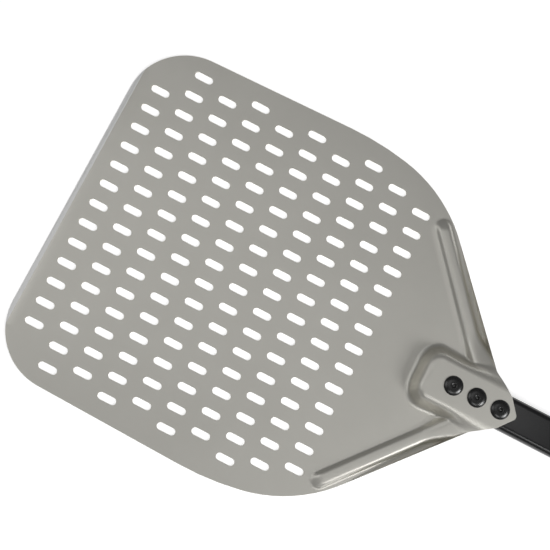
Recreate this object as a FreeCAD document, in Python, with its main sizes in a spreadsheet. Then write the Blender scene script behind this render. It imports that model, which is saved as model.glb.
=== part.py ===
import FreeCAD
import Part
import math
import os
import Sketcher
from FreeCAD import Vector

# Perforated pizza peel: one pressed aluminium blade, riveted to a flat rounded tube that
# ends in a moulded grip.
#
# Frame: +X runs from the leading edge to the hanging eye, +Z is up, and the peel is
# symmetrical about Y = 0. Every piece is drawn on stations, the distance from the blade's
# leading edge, and its Placement then moves it back by half the overall length, so the
# origin is the middle of the peel's footprint, on the surface that it lies on.

SHEET_NAME = "Sizes"

# alias, value in millimetres or degrees, what it is
DRIVING_SIZES = [
    ("overall_length", 790.0, "leading edge to the end of the hanging eye"),
    ("sheet", 1.5, "thickness of the blade's aluminium"),
    ("front_half_width", 149.4, "leading edge to the side, before the corner is rounded"),
    ("front_corner", 52.0, "radius of the two front corners"),
    ("flank_station", 205.0, "where the flared sides start to turn in"),
    ("flank_half_width", 156.0, "half width there, before rounding"),
    ("flank_round", 248.0, "radius of that turn"),
    ("shoulder_station", 275.5, "where the shoulders turn into the neck"),
    ("shoulder_half_width", 142.9, "half width there, before rounding"),
    ("shoulder_round", 125.0, "radius of that turn"),
    ("neck_station", 375.0, "end of the straight neck"),
    ("neck_half_width", 26.5, "half width there"),
    ("tab_station", 391.0, "end of the tab's sides"),
    ("tab_half_width", 15.0, "half width there"),
    ("tip_station", 404.0, "point of the tab, before it is rounded"),
    ("tip_round", 3.5, "radius of the tab's point"),
    ("bevel_run", 4.0, "width of the bevel along the leading edge"),
    ("bevel_drop", 1.0, "drop of that bevel"),
    ("slot_length", 16.0, "length of a slot along X, end to end"),
    ("slot_width", 6.0, "width of a slot"),
    ("slot_pitch", 18.0, "distance between slots in one column"),
    ("column_pitch", 26.55, "distance between columns"),
    ("first_column", 23.85, "station of the first column's centre"),
    ("bead_front_station", 284.0, "centre of the bead's front end"),
    ("bead_front_offset", 116.2, "its distance from the middle"),
    ("bead_rear_station", 361.0, "centre of the bead's rear end, in the tunnel's wall"),
    ("bead_rear_offset", 25.8, "its distance from the middle"),
    ("bead_foot", 13.0, "width of a bead at its foot"),
    ("bead_top", 4.0, "width of a bead at its top"),
    ("bead_hollow_foot", 10.0, "width of a bead's hollow at its foot"),
    ("bead_hollow_top", 2.0, "width of a bead's hollow at its top"),
    ("bead_height", 3.0, "height of a bead above the blade"),
    ("tunnel_station", 311.5, "foot of the tunnel's front wall"),
    ("tunnel_top_station", 323.5, "top of the tunnel's front wall"),
    ("tunnel_foot", 25.5, "half width of the tunnel's foot at its front"),
    ("tunnel_rear_foot", 17.5, "half width of the tunnel's foot at the tab's end"),
    ("tunnel_top", 15.7, "half width of the tunnel's top"),
    ("tunnel_round", 4.0, "outer radius of the tunnel's top edges"),
    ("tunnel_wall", 1.7, "tunnel's wall at its foot, measured level"),
    ("tunnel_rear_wall", 1.2, "the same at the tab's end"),
    ("tunnel_top_wall", 0.9, "tunnel's wall at its top, measured level"),
    ("tunnel_spare", 6.0, "how far the tunnel runs past the tab before it is trimmed"),
    ("trim_margin", 40.0, "how far the trimming cut reaches round the tab"),
    ("cut_clear", 1.0, "how far a cut starts and ends outside the metal"),
    ("tube_width", 30.0, "handle tube, across"),
    ("tube_height", 15.0, "handle tube, up and down"),
    ("tube_wall", 1.5, "handle tube, wall"),
    ("tube_corner", 5.5, "handle tube, outer corner radius"),
    ("tube_lift", 1.5, "underside of the tube above the surface that the peel lies on"),
    ("tube_front", 330.0, "station of the tube's front end"),
    ("tube_rear", 757.0, "station of the tube's rear end"),
    ("rivet_front", 345.7, "station of the first rivet"),
    ("rivet_pitch", 21.1, "distance between rivets"),
    ("rivet_hole", 5.1, "hole for a rivet"),
    ("rivet_shank", 5.0, "set diameter of a rivet's body"),
    ("rivet_flange", 16.0, "flange of a large-flange rivet"),
    ("rivet_flange_height", 2.3, "its height in the middle"),
    ("rivet_rim", 0.6, "its thickness at the rim"),
    ("rivet_bore", 2.8, "bore of a rivet's body"),
    ("rivet_bulge", 7.6, "diameter of the blind side's bulge"),
    ("rivet_bulge_length", 4.2, "length of that bulge"),
    ("stem", 2.6, "diameter of a rivet's stem"),
    ("stem_head", 4.6, "diameter of the stem's head"),
    ("stem_head_length", 2.4, "length of the stem's head"),
    ("stem_head_chamfer", 0.8, "chamfer on the stem's head"),
    ("stem_sunk", 1.3, "broken end of the stem below the flange's top"),
    ("stem_tip", 0.3, "how far the broken end rises to a point"),
    ("plug_flange", 2.0, "front plug's flange"),
    ("plug_inset", 0.5, "front plug's flange inside the tube's outline"),
    ("plug_depth", 9.0, "front plug's spigot"),
    ("spigot_gap", 0.1, "gap round a spigot inside the tube"),
    ("grip_front", 627.0, "station of the grip's front end"),
    ("grip_side_wall", 2.5, "grip's wall on the sides and the top"),
    ("grip_corner", 7.5, "grip's outer corner radius"),
    ("grip_end_round", 1.2, "round on the grip's ends"),
    ("cap_collar", 5.0, "length of the end cap's collar"),
    ("cap_spigot", 26.0, "length of the end cap's spigot"),
    ("cap_wall", 2.0, "wall of the end cap's spigot"),
    ("eye_width", 24.0, "width of the hanging eye"),
    ("eye_thickness", 9.0, "thickness of the hanging eye"),
    ("eye_hole", 10.0, "hole of the hanging eye"),
    ("eye_root", 1.0, "how deep the eye is rooted in the collar"),
    ("grip_rivet_station", 743.0, "station of the rivet that holds the grip and the end cap"),
    ("grip_rivet_flange", 9.5, "flange of that rivet"),
]

# how many slots each of the ten columns has, from the leading edge to the neck
SLOTS_PER_COLUMN = [13, 16, 15, 16, 15, 16, 15, 16, 15, 14]

RIVETS_IN_BLADE = 3

# a rivet's dome from rim to bore: share of the way from bore to rim, share of its height
RIVET_DOME = [(0.82, 0.62), (0.55, 0.88), (0.25, 1.0), (0.0, 1.0)]

# its blind side from the tail to the seat: share of the bulge's radius, share of its length
RIVET_BULGE = [(0.8, 0.0), (1.0, 0.35), (0.9, 0.9), (0.8, 1.0)]

doc = FreeCAD.newDocument("PizzaPeel")
pieces = []


class Size:
    """A length that knows its value and the spreadsheet expression that gives it."""

    def __init__(self, value, text):
        self.value = value
        self.text = text

    @staticmethod
    def of(number):
        """Return number as a Size, unless it is one already."""
        if isinstance(number, Size):
            return number
        return Size(float(number), repr(float(number)))

    def combine(self, other, sign, value):
        """Return a Size whose text joins this one and another with an operator."""
        return Size(value, "(%s %s %s)" % (self.text, sign, Size.of(other).text))

    def __add__(self, other):
        return self.combine(other, "+", self.value + Size.of(other).value)

    def __sub__(self, other):
        return self.combine(other, "-", self.value - Size.of(other).value)

    def __mul__(self, other):
        return self.combine(other, "*", self.value * Size.of(other).value)

    def __truediv__(self, other):
        return self.combine(other, "/", self.value / Size.of(other).value)

    def __neg__(self):
        return Size(-self.value, "(-1 * %s)" % self.text)


def write_sheet():
    """Put the driving sizes in the spreadsheet and return them as Sizes by alias."""
    sheet = doc.addObject("Spreadsheet::Sheet", SHEET_NAME)
    sizes = {}
    for row, (alias, value, meaning) in enumerate(DRIVING_SIZES, start=1):
        sheet.set("A%d" % row, meaning)
        sheet.set("B%d" % row, repr(value))
        sheet.setAlias("B%d" % row, alias)
        sizes[alias] = Size(value, "%s.%s" % (SHEET_NAME, alias))
    doc.recompute()
    return sizes


SIZE = write_sheet()
SHEET_TOP = SIZE["sheet"]
TUBE_TOP = SIZE["tube_lift"] + SIZE["tube_height"]
TUNNEL_TOP = TUBE_TOP + SIZE["sheet"]
TUBE_MIDDLE = SIZE["tube_lift"] + SIZE["tube_height"] / 2
GRIP_WIDTH = SIZE["tube_width"] + SIZE["grip_side_wall"] * 2
GRIP_TOP = TUBE_TOP + SIZE["grip_side_wall"]
TUBE_INSIDE_WIDTH = SIZE["tube_width"] - SIZE["tube_wall"] * 2
TUBE_INSIDE_HEIGHT = SIZE["tube_height"] - SIZE["tube_wall"] * 2
SPIGOT_WIDTH = TUBE_INSIDE_WIDTH - SIZE["spigot_gap"] * 2
SPIGOT_HEIGHT = TUBE_INSIDE_HEIGHT - SIZE["spigot_gap"] * 2
INNER_CORNER = SIZE["tube_corner"] - SIZE["tube_wall"]


# ---------------------------------------------------------------- drawing helpers

def bind(obj, **properties):
    """Bind each named property of obj to a Size; two underscores stand for a dot."""
    for name, size in properties.items():
        obj.setExpression(name.replace("__", "."), Size.of(size).text)


def place_piece(obj, label, x=0.0, y=0.0, z=0.0):
    """Name a sub-part and move its stations back by half the overall length."""
    obj.Label = label
    bind(
        obj,
        Placement__Base__x=Size.of(x) - SIZE["overall_length"] / 2,
        Placement__Base__y=y,
        Placement__Base__z=z,
    )
    pieces.append(obj)


def new_body(label, x=0.0, y=0.0, z=0.0):
    """Start a sub-part that is one PartDesign body."""
    body = doc.addObject("PartDesign::Body", label)
    place_piece(body, label, x, y, z)
    return body


def plane_of(body, role):
    """Return one of the body's own origin planes or axes, by its role."""
    for feature in body.Origin.OriginFeatures:
        if feature.Role == role:
            return feature
    raise RuntimeError("no %s in %s" % (role, body.Label))


def new_sketch(body, name, role="XY_Plane", offset=(0.0, 0.0, 0.0)):
    """Start a sketch on an origin plane, moved by offset in the sketch's own axes."""
    sketch = body.newObject("Sketcher::SketchObject", name)
    sketch.AttachmentSupport = (plane_of(body, role), [""])
    sketch.MapMode = "FlatFace"
    bind(
        sketch,
        AttachmentOffset__Base__x=offset[0],
        AttachmentOffset__Base__y=offset[1],
        AttachmentOffset__Base__z=offset[2],
    )
    return sketch


def constrain(sketch, kind, references, size, name):
    """Add a dimension to a sketch and bind it to a Size."""
    size = Size.of(size)
    index = sketch.addConstraint(Sketcher.Constraint(kind, *references, size.value))
    sketch.renameConstraint(index, name)
    sketch.setExpression("Constraints.%s" % name, size.text)


def draw_polygon(sketch, points):
    """Draw a closed polygon whose corners are bound to pairs of Sizes."""
    corners = [(Size.of(x), Size.of(y)) for x, y in points]
    count = len(corners)
    for index, (x, y) in enumerate(corners):
        next_x, next_y = corners[(index + 1) % count]
        start = Vector(x.value, y.value, 0)
        end = Vector(next_x.value, next_y.value, 0)
        sketch.addGeometry(Part.LineSegment(start, end), False)
    for index in range(count):
        meets = (index, 2, (index + 1) % count, 1)
        sketch.addConstraint(Sketcher.Constraint("Coincident", *meets))
    for index, (x, y) in enumerate(corners):
        constrain(sketch, "DistanceX", (-1, 1, index, 1), x, "x%d" % index)
        constrain(sketch, "DistanceY", (-1, 1, index, 1), y, "y%d" % index)


def draw_rounded_rectangle(sketch, width, height, corner):
    """Draw a rectangle with round corners about the sketch's origin."""
    width, height, corner = Size.of(width), Size.of(height), Size.of(corner)
    radius = corner.value
    across = width.value / 2
    up = height.value / 2
    middle_across = across - radius
    middle_up = up - radius
    sides = [
        (-middle_across, -up, middle_across, -up),
        (across, -middle_up, across, middle_up),
        (middle_across, up, -middle_across, up),
        (-across, middle_up, -across, -middle_up),
    ]
    for start_x, start_y, end_x, end_y in sides:
        side = Part.LineSegment(Vector(start_x, start_y, 0), Vector(end_x, end_y, 0))
        sketch.addGeometry(side, False)
    quarter = math.pi / 2
    for turn, (x_sign, y_sign) in enumerate([(1, -1), (1, 1), (-1, 1), (-1, -1)], start=-1):
        centre = Vector(x_sign * middle_across, y_sign * middle_up, 0)
        circle = Part.Circle(centre, Vector(0, 0, 1), radius)
        arc = Part.ArcOfCircle(circle, turn * quarter, (turn + 1) * quarter)
        sketch.addGeometry(arc, False)
    for side in range(4):
        arc = side + 4
        sketch.addConstraint(Sketcher.Constraint("Tangent", side, 2, arc, 1))
        sketch.addConstraint(Sketcher.Constraint("Tangent", arc, 2, (side + 1) % 4, 1))
    sketch.addConstraint(Sketcher.Constraint("Horizontal", 0))
    sketch.addConstraint(Sketcher.Constraint("Vertical", 1))
    sketch.addConstraint(Sketcher.Constraint("Horizontal", 2))
    sketch.addConstraint(Sketcher.Constraint("Vertical", 3))
    for arc in (5, 6, 7):
        sketch.addConstraint(Sketcher.Constraint("Equal", 4, arc))
    sketch.addConstraint(Sketcher.Constraint("Symmetric", 4, 3, 6, 3, -1, 1))
    constrain(sketch, "Radius", (4,), corner, "corner")
    constrain(sketch, "DistanceX", (3, 1, 1, 1), width, "width")
    constrain(sketch, "DistanceY", (0, 1, 2, 1), height, "height")


def draw_circle(sketch, diameter):
    """Draw a circle about the sketch's origin."""
    size = Size.of(diameter)
    circle = Part.Circle(Vector(0, 0, 0), Vector(0, 0, 1), size.value / 2)
    sketch.addGeometry(circle, False)
    sketch.addConstraint(Sketcher.Constraint("Coincident", 0, 3, -1, 1))
    constrain(sketch, "Diameter", (0,), size, "diameter")


def draw_obround(sketch, length, width, angle=0.0):
    """Draw a straight slot shape about the sketch's origin, turned by degrees."""
    length, width = Size.of(length), Size.of(width)
    radius = width.value / 2
    half_run = (length.value - width.value) / 2
    turn = math.radians(angle)
    along = Vector(math.cos(turn), math.sin(turn), 0)
    across = Vector(-math.sin(turn), math.cos(turn), 0)
    front, rear = along * -half_run, along * half_run
    up = Vector(0, 0, 1)
    sketch.addGeometry(Part.LineSegment(front - across * radius, rear - across * radius), False)
    sketch.addGeometry(Part.LineSegment(rear + across * radius, front + across * radius), False)
    rear_circle, front_circle = Part.Circle(rear, up, radius), Part.Circle(front, up, radius)
    quarter = math.pi / 2
    rear_arc = Part.ArcOfCircle(rear_circle, turn - quarter, turn + quarter)
    front_arc = Part.ArcOfCircle(front_circle, turn + quarter, turn + 3 * quarter)
    sketch.addGeometry(rear_arc, False)
    sketch.addGeometry(front_arc, False)
    for meets in ((0, 2, 2, 1), (2, 2, 1, 1), (1, 2, 3, 1), (3, 2, 0, 1)):
        sketch.addConstraint(Sketcher.Constraint("Tangent", *meets))
    sketch.addConstraint(Sketcher.Constraint("Symmetric", 2, 3, 3, 3, -1, 1))
    constrain(sketch, "Radius", (2,), width / 2, "end_radius")
    constrain(sketch, "Distance", (2, 3, 3, 3), length - width, "straight")
    if angle == 0.0:
        sketch.addConstraint(Sketcher.Constraint("Horizontal", 0))
    else:
        sketch.addConstraint(Sketcher.Constraint("Angle", 0, turn))


# ---------------------------------------------------------------- feature helpers

def finish_feature(body, feature, profile=None):
    """Recompute a new feature, hide its profile and check that it did not fail."""
    if profile is not None:
        profile.Visibility = False
    body.Tip = feature
    doc.recompute()
    if "Invalid" in feature.State or "Error" in feature.State:
        raise RuntimeError("%s in %s failed" % (feature.Name, body.Label))
    return feature


def pad(body, sketch, length):
    """Extrude a sketch along its plane's normal."""
    feature = body.newObject("PartDesign::Pad", sketch.Name + "_pad")
    feature.Profile = sketch
    bind(feature, Length=length)
    return finish_feature(body, feature, sketch)


def pocket(body, sketch, length, along_normal=True):
    """Cut a sketch to a depth, along its plane's normal or against it."""
    before = body.Shape.Volume
    feature = body.newObject("PartDesign::Pocket", sketch.Name + "_pocket")
    feature.Profile = sketch
    feature.Reversed = along_normal
    bind(feature, Length=length)
    finish_feature(body, feature, sketch)
    if near(body.Shape.Volume, before):
        raise RuntimeError("%s cuts nothing" % feature.Name)
    return feature


def revolve(body, sketch):
    """Turn a sketch all the way round its own upright axis."""
    feature = body.newObject("PartDesign::Revolution", sketch.Name + "_turned")
    feature.Profile = sketch
    feature.ReferenceAxis = (sketch, ["V_Axis"])
    feature.Angle = 360.0
    return finish_feature(body, feature, sketch)


def loft(body, kind, first, second):
    """Join two sketches by a ruled loft; kind is Additive or Subtractive."""
    feature = body.newObject("PartDesign::%sLoft" % kind, first.Name + "_loft")
    feature.Profile = first
    feature.Sections = [second]
    feature.Ruled = True
    second.Visibility = False
    return finish_feature(body, feature, first)


def fillet(body, radius, is_wanted):
    """Round the edges of the body's tip that a test of an edge picks."""
    base = body.Tip
    names = ["Edge%d" % n for n, edge in enumerate(base.Shape.Edges, 1) if is_wanted(edge)]
    if not names:
        raise RuntimeError("no edge to round in %s" % body.Label)
    feature = body.newObject("PartDesign::Fillet", "Round")
    feature.Base = (base, names)
    bind(feature, Radius=radius)
    return finish_feature(body, feature)


def row_of(body, feature, axis, pitch, count):
    """Repeat a feature along an origin axis, count times a pitch apart."""
    pattern = body.newObject("PartDesign::LinearPattern", feature.Name + "_row")
    pattern.Originals = [feature]
    pattern.Direction = (plane_of(body, axis), [""])
    bind(pattern, Length=pitch * (count - 1))
    pattern.Occurrences = count
    return finish_feature(body, pattern)


# ---------------------------------------------------------------- edge tests

def near(first, second, slack=0.01):
    """Say whether two numbers agree within slack."""
    return abs(first - second) < slack


def upright_at(x, y):
    """Return a test for an upright edge that stands at x and plus or minus y."""
    x, y = Size.of(x).value, Size.of(y).value

    def test(edge):
        ends = [vertex.Point for vertex in edge.Vertexes]
        upright = len(ends) == 2 and near(ends[0].x, ends[1].x) and near(ends[0].y, ends[1].y)
        return upright and near(ends[0].x, x) and near(abs(ends[0].y), y)

    return test


def at_station(station):
    """Return a test for an edge that lies in the plane at one station."""
    station = Size.of(station).value

    def test(edge):
        box = edge.BoundBox
        return near(box.XMin, station) and near(box.XMax, station)

    return test


# ---------------------------------------------------------------- the blade

def tab_side(sign):
    """Return the corners of one side of the tab, from the neck to its end."""
    return [
        (SIZE["neck_station"], SIZE["neck_half_width"] * sign),
        (SIZE["tab_station"], SIZE["tab_half_width"] * sign),
    ]


def draw_blank(body):
    """Pad the flat sheet to its outline and round its corners."""
    corners = [
        (0.0, SIZE["front_half_width"], SIZE["front_corner"]),
        (SIZE["flank_station"], SIZE["flank_half_width"], SIZE["flank_round"]),
        (SIZE["shoulder_station"], SIZE["shoulder_half_width"], SIZE["shoulder_round"]),
    ]
    side = [(x, y) for x, y, radius in corners]
    other_side = [(x, -y) for x, y in reversed(side)]
    tip = [(SIZE["tip_station"], 0.0)]
    outline = other_side + side + tab_side(1) + tip + tab_side(-1)[::-1]
    sketch = new_sketch(body, "Outline")
    draw_polygon(sketch, outline)
    pad(body, sketch, SIZE["sheet"])
    for x, y, radius in corners:
        fillet(body, radius, upright_at(x, y))


def trapezium(body, name, height, front, rear, front_half, rear_half):
    """Draw one level of the tunnel: a trapezium that is wider at the front."""
    sketch = new_sketch(body, name, offset=(0.0, 0.0, height))
    corners = [(front, -front_half), (rear, -rear_half), (rear, rear_half), (front, front_half)]
    draw_polygon(sketch, corners)
    return sketch


def raise_tunnel(body):
    """Raise the tunnel that holds the tube, hollow it, and trim it to the tab."""
    beyond = SIZE["tip_station"] + SIZE["tunnel_spare"]
    foot = trapezium(
        body, "TunnelFoot", 0.0, SIZE["tunnel_station"], beyond,
        SIZE["tunnel_foot"], SIZE["tunnel_rear_foot"],
    )
    top = trapezium(
        body, "TunnelTop", TUNNEL_TOP, SIZE["tunnel_top_station"], beyond,
        SIZE["tunnel_top"], SIZE["tunnel_top"],
    )
    loft(body, "Additive", foot, top)

    def front_or_side_of_roof(edge):
        box = edge.BoundBox
        on_roof = near(box.ZMin, TUNNEL_TOP.value) and near(box.ZMax, TUNNEL_TOP.value)
        return on_roof and near(box.XMin, SIZE["tunnel_top_station"].value)

    fillet(body, SIZE["tunnel_round"], front_or_side_of_roof)

    wall = SIZE["tunnel_wall"]
    hollow_foot = trapezium(
        body, "HollowFoot", 0.0, SIZE["tunnel_station"] + wall, beyond,
        SIZE["tunnel_foot"] - wall, SIZE["tunnel_rear_foot"] - SIZE["tunnel_rear_wall"],
    )
    top_half = SIZE["tunnel_top"] - SIZE["tunnel_top_wall"]
    hollow_top = trapezium(
        body, "HollowTop", TUBE_TOP, SIZE["tunnel_top_station"] + wall, beyond,
        top_half, top_half,
    )
    loft(body, "Subtractive", hollow_foot, hollow_top)

    reach = SIZE["neck_half_width"] + SIZE["trim_margin"]
    rear = beyond + SIZE["trim_margin"]
    around = [
        (SIZE["neck_station"], -reach),
        (rear, -reach),
        (rear, reach),
        (SIZE["neck_station"], reach),
    ]
    tip = [(SIZE["tip_station"], 0.0)]
    sketch = new_sketch(body, "Trim")
    draw_polygon(sketch, around + tab_side(1) + tip + tab_side(-1)[::-1])
    pocket(body, sketch, TUNNEL_TOP * 2)
    fillet(body, SIZE["tip_round"], upright_at(SIZE["tip_station"], 0.0))


def press_bead(body, sign):
    """Raise one stiffening bead beside the neck and hollow it from below."""
    run = SIZE["bead_rear_station"] - SIZE["bead_front_station"]
    drift = (SIZE["bead_rear_offset"] - SIZE["bead_front_offset"]) * sign
    length = math.hypot(run.value, drift.value)
    angle = math.degrees(math.atan2(drift.value, run.value))
    middle_x = (SIZE["bead_rear_station"] + SIZE["bead_front_station"]) / 2
    middle_y = (SIZE["bead_rear_offset"] + SIZE["bead_front_offset"]) * sign / 2
    side = "Left" if sign > 0 else "Right"
    levels = (
        ("Additive", SHEET_TOP, SIZE["bead_foot"], SIZE["bead_top"]),
        ("Subtractive", Size.of(0.0), SIZE["bead_hollow_foot"], SIZE["bead_hollow_top"]),
    )
    for kind, base, foot, top in levels:
        sketches = []
        for name, width, level in (("Foot", foot, base), ("Top", top, base + SIZE["bead_height"])):
            sketch = new_sketch(body, "%s%sBead%s" % (side, kind, name),
                                offset=(middle_x, middle_y, level))
            draw_obround(sketch, width + length, width, angle)
            sketches.append(sketch)
        loft(body, kind, *sketches)


def slot_punch():
    """Return the solid that punches one slot, centred on the origin."""
    radius = SIZE["slot_width"].value / 2
    half_run = SIZE["slot_length"].value / 2 - radius
    depth = SIZE["sheet"].value * 2
    low = -SIZE["sheet"].value / 2
    front, rear = Vector(-half_run, 0, low), Vector(half_run, 0, low)
    side = Vector(0, radius, 0)
    ahead = Vector(radius, 0, 0)
    edges = [
        Part.LineSegment(front - side, rear - side).toShape(),
        Part.Arc(rear - side, rear + ahead, rear + side).toShape(),
        Part.LineSegment(rear + side, front + side).toShape(),
        Part.Arc(front + side, front - ahead, front - side).toShape(),
    ]
    return Part.Face(Part.Wire(edges)).extrude(Vector(0, 0, depth))


def make_slot_punches():
    """Make the gang of punches for the staggered columns of slots."""
    punch = slot_punch()
    pitch = SIZE["slot_pitch"].value
    gang = []
    for column, count in enumerate(SLOTS_PER_COLUMN):
        station = (SIZE["first_column"] + SIZE["column_pitch"] * column).value
        for row in range(count):
            place = Vector(station, (row - (count - 1) / 2) * pitch, 0)
            gang.append(punch.translated(place))
    punches = doc.addObject("Part::Feature", "SlotPunches")
    punches.Shape = Part.makeCompound(gang)
    return punches


def bevel_leading_edge(body):
    """Plane the top of the leading edge down to a thin lip."""
    sketch = new_sketch(body, "Bevel", "XZ_Plane", (0.0, 0.0, -SIZE["flank_half_width"]))
    clear = SIZE["cut_clear"]
    lip = SIZE["sheet"] - SIZE["bevel_drop"]
    draw_polygon(sketch, [
        (-clear, lip - SIZE["bevel_drop"] / SIZE["bevel_run"] * clear),
        (SIZE["bevel_run"], SIZE["sheet"]),
        (SIZE["bevel_run"], SIZE["sheet"] + clear),
        (-clear, SIZE["sheet"] + clear),
    ])
    pocket(body, sketch, SIZE["flank_half_width"] * 2)


def drill_down(body, name, station, diameter, top, thickness):
    """Drill an upright round hole at a station, through a thickness that starts at top."""
    sketch = new_sketch(body, name, offset=(station, 0.0, top + SIZE["cut_clear"]))
    draw_circle(sketch, diameter)
    return pocket(body, sketch, thickness + SIZE["cut_clear"] * 2, along_normal=False)


def make_blade():
    """Make the blade: blank, tunnel, beads, rivet holes and bevel, then the slots."""
    body = doc.addObject("PartDesign::Body", "BladePressing")
    draw_blank(body)
    raise_tunnel(body)
    for sign in (1, -1):
        press_bead(body, sign)
    hole = drill_down(
        body, "RivetHole", SIZE["rivet_front"], SIZE["rivet_hole"],
        TUNNEL_TOP, SIZE["sheet"],
    )
    row_of(body, hole, "X_Axis", SIZE["rivet_pitch"], RIVETS_IN_BLADE)
    bevel_leading_edge(body)
    blade = doc.addObject("Part::Cut", "blade")
    blade.Base = body
    blade.Tool = make_slot_punches()
    place_piece(blade, "blade")


# ---------------------------------------------------------------- the handle

def tube_section(body, name, station, level, outer, length, cut=False):
    """Pad or cut a rounded rectangle along X; outer is its width, height and corner."""
    sketch = new_sketch(body, name, "YZ_Plane", (0.0, level, station))
    draw_rounded_rectangle(sketch, *outer)
    return pocket(body, sketch, length) if cut else pad(body, sketch, length)


def make_handle_tube():
    """Make the flat rounded tube with its rivet holes."""
    body = new_body("handle_tube", z=TUBE_MIDDLE)
    front = SIZE["tube_front"]
    length = SIZE["tube_rear"] - front
    outside = (SIZE["tube_width"], SIZE["tube_height"], SIZE["tube_corner"])
    inside = (TUBE_INSIDE_WIDTH, TUBE_INSIDE_HEIGHT, INNER_CORNER)
    tube_section(body, "TubeOutside", front, 0.0, outside, length)
    tube_section(body, "TubeInside", front, 0.0, inside, length, cut=True)
    top = SIZE["tube_height"] / 2
    wall = SIZE["tube_wall"]
    hole = drill_down(body, "RivetHole", SIZE["rivet_front"], SIZE["rivet_hole"], top, wall)
    row_of(body, hole, "X_Axis", SIZE["rivet_pitch"], RIVETS_IN_BLADE)
    drill_down(body, "GripRivetHole", SIZE["grip_rivet_station"], SIZE["rivet_hole"], top, wall)


def hollow_spigot(body, name, station, level, length):
    """Add a spigot that fits inside the tube, hollow along its whole length."""
    wall = SIZE["cap_wall"] * 2
    outside = (SPIGOT_WIDTH, SPIGOT_HEIGHT, INNER_CORNER)
    inside = (SPIGOT_WIDTH - wall, SPIGOT_HEIGHT - wall, INNER_CORNER - SIZE["cap_wall"])
    tube_section(body, name, station, level, outside, length)
    tube_section(body, name + "Hollow", station, level, inside, length, cut=True)


def make_front_plug():
    """Make the moulded plug that closes the tube's front end inside the tunnel."""
    body = new_body("tube_front_plug", z=TUBE_MIDDLE)
    flange_front = SIZE["tube_front"] - SIZE["plug_flange"]
    inset = SIZE["plug_inset"]
    flange = (
        SIZE["tube_width"] - inset * 2,
        SIZE["tube_height"] - inset * 2,
        SIZE["tube_corner"] - inset,
    )
    tube_section(body, "PlugFlange", flange_front, 0.0, flange, SIZE["plug_flange"])
    hollow_spigot(body, "PlugSpigot", SIZE["tube_front"], 0.0, SIZE["plug_depth"])


def make_grip():
    """Make the moulded grip that slides over the tube's rear end."""
    body = new_body("grip_sleeve")
    front = SIZE["grip_front"]
    length = SIZE["tube_rear"] - front
    outside = (GRIP_WIDTH, GRIP_TOP, SIZE["grip_corner"])
    inside = (SIZE["tube_width"], SIZE["tube_height"], SIZE["tube_corner"])
    tube_section(body, "GripOutside", front, GRIP_TOP / 2, outside, length)
    fillet(body, SIZE["grip_end_round"], at_station(front))
    tube_section(body, "GripInside", front, TUBE_MIDDLE, inside, length, cut=True)
    drill_down(body, "GripRivetHole", SIZE["grip_rivet_station"], SIZE["rivet_hole"],
               GRIP_TOP, SIZE["grip_side_wall"])


def make_end_cap():
    """Make the end cap: a collar, a hollow spigot inside the tube and a hanging eye."""
    body = new_body("end_cap")
    rear = SIZE["tube_rear"]
    collar_rear = rear + SIZE["cap_collar"]
    outside = (GRIP_WIDTH, GRIP_TOP, SIZE["grip_corner"])
    tube_section(body, "Collar", rear, GRIP_TOP / 2, outside, SIZE["cap_collar"])
    fillet(body, SIZE["grip_end_round"], at_station(collar_rear))
    hollow_spigot(body, "Spigot", rear - SIZE["cap_spigot"], TUBE_MIDDLE, SIZE["cap_spigot"])

    eye_radius = SIZE["eye_width"] / 2
    eye_middle = SIZE["overall_length"] - eye_radius
    eye_low = (GRIP_TOP - SIZE["eye_thickness"]) / 2
    root = collar_rear - SIZE["eye_root"]
    neck = new_sketch(body, "EyeNeck", offset=(0.0, 0.0, eye_low))
    corners = [(root, -eye_radius), (eye_middle, -eye_radius),
               (eye_middle, eye_radius), (root, eye_radius)]
    draw_polygon(neck, corners)
    pad(body, neck, SIZE["eye_thickness"])
    ring = new_sketch(body, "EyeRing", offset=(eye_middle, 0.0, eye_low))
    draw_circle(ring, SIZE["eye_width"])
    pad(body, ring, SIZE["eye_thickness"])
    drill_down(body, "EyeHole", eye_middle, SIZE["eye_hole"],
               eye_low + SIZE["eye_thickness"], SIZE["eye_thickness"])
    spigot_top = TUBE_MIDDLE + SPIGOT_HEIGHT / 2
    drill_down(body, "GripRivetHole", SIZE["grip_rivet_station"], SIZE["rivet_hole"],
               spigot_top, SIZE["cap_wall"])


# ---------------------------------------------------------------- the rivets

def make_rivet(name, station, seat, grip, flange):
    """Make one set blind rivet: its body and what is left of its stem.

    The rivet is drawn with its flange on level 0, pointing up. grip is the thickness of
    what it holds, and seat is the level that the flange sits on.
    """
    shell = new_body(name + "_body", x=station, z=seat)
    bore = SIZE["rivet_bore"] / 2
    shank = SIZE["rivet_shank"] / 2
    bulge = SIZE["rivet_bulge"] / 2
    height = SIZE["rivet_flange_height"]
    length = SIZE["rivet_bulge_length"]
    crown = flange / 2 - bore
    tail = -(grip + length)
    blind_side = [(bulge * out, tail + length * up) for out, up in RIVET_BULGE]
    dome = [(bore + crown * out, height * up) for out, up in RIVET_DOME]
    flange_edge = [
        (shank, -grip),
        (shank, 0.0),
        (flange / 2, 0.0),
        (flange / 2, SIZE["rivet_rim"]),
    ]
    profile = new_sketch(shell, name + "Profile", "XZ_Plane")
    draw_polygon(profile, [(bore, tail)] + blind_side + flange_edge + dome)
    revolve(shell, profile)

    stem = new_body(name + "_stem", x=station, z=seat)
    half_stem = SIZE["stem"] / 2
    head = SIZE["stem_head"] / 2
    stem_profile = new_sketch(stem, name + "StemProfile", "XZ_Plane")
    head_end = tail - SIZE["stem_head_length"]
    chamfer = SIZE["stem_head_chamfer"]
    broken_end = height - SIZE["stem_sunk"]
    draw_polygon(stem_profile, [
        (0.0, head_end),
        (head - chamfer, head_end),
        (head, head_end + chamfer),
        (head, tail),
        (half_stem, tail),
        (half_stem, broken_end),
        (0.0, broken_end + SIZE["stem_tip"]),
    ])
    revolve(stem, stem_profile)


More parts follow.
